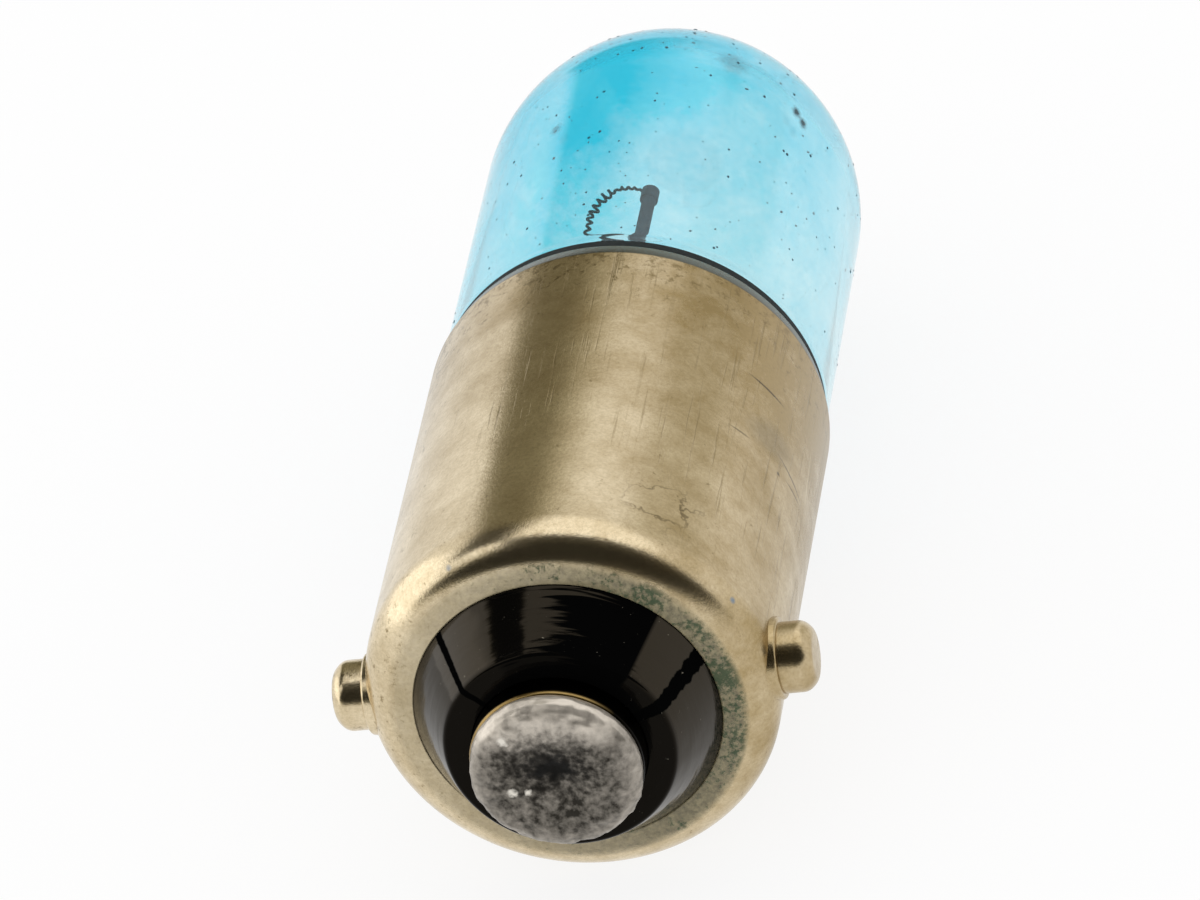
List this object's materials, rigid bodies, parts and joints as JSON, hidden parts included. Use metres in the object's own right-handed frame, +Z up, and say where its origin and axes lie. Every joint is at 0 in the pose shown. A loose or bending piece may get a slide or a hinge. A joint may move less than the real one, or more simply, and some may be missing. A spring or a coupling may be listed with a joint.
{
  "type": "miniature twist-lock bulb",
  "caption": "Small twist-lock filament bulb: blue glass tube with a dome, a plated metal cap with round side pins, a black glass end cone and a soldered end contact.",
  "frame": {"origin": "on the floor under the middle of the bulb's length, with the bulb lying on its cap", "axes": "+Y along the bulb from the end contact to the dome, +X along the side pins, +Z up from the floor"},
  "size_m": [0.0108, 0.0266, 0.0092],
  "materials": {
    "plated_cap": "nickel plated brass, satin, tarnished and scratched, green bloom at the closed end",
    "plated_pin": "nickel plated brass, polished by use",
    "black_glass": "opaque black moulded glass, glossy",
    "contact_brass": "bare brass, dulled",
    "solder": "soft solder, mottled grey",
    "blue_glass": "clear glass with an uneven blue tint",
    "clear_glass": "clear sealing glass",
    "lead_wire": "plated iron alloy wire, oxidised",
    "tungsten": "coiled tungsten, dark grey",
    "cement": "baked resin cement, rough"
  },
  "bodies": {
    "root": {"cap_shell": "plated_cap", "bayonet_pin_right": "plated_pin", "bayonet_pin_left": "plated_pin", "insulator": "black_glass", "contact_eyelet": "contact_brass", "contact_solder": "solder", "glass_envelope": "blue_glass", "glass_bead": "clear_glass", "lead_wire_contact": "lead_wire", "lead_wire_side": "lead_wire", "filament": "tungsten", "basing_cement": "cement", "side_solder": "solder"}
  },
  "joints": []
}
